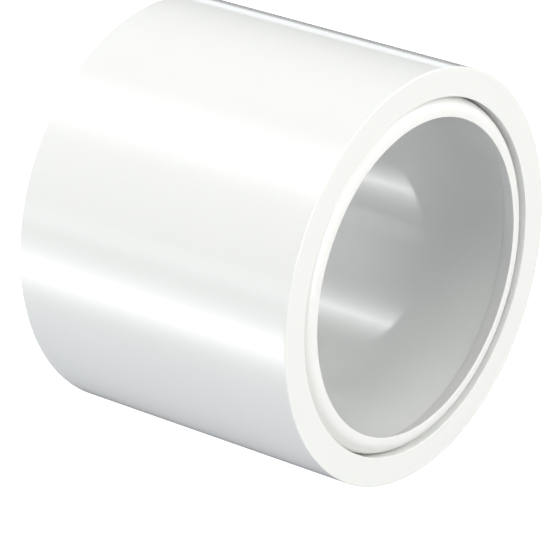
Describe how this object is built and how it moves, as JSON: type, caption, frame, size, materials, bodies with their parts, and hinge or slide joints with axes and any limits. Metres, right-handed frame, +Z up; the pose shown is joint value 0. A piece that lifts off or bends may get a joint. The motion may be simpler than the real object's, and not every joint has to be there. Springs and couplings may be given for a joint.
{
  "type": "pipe reducer",
  "caption": "Plain round push-fit pipe reducer with a straight socket, a thin pipe stop inside and a rubber lip seal set flush in its mouth.",
  "frame": {"origin": "on the axis of the bore, half way along the body", "axes": "+X along the axis, out of the mouth with the seal; +Z up, with the body lying on its side"},
  "size_m": [0.0392, 0.05, 0.05],
  "materials": {
    "body_plastic": "glossy moulded white plastic",
    "seal_rubber": "smooth white rubber"
  },
  "bodies": {
    "root": {"reducer_body": "body_plastic", "lip_seal": "seal_rubber"}
  },
  "joints": []
}
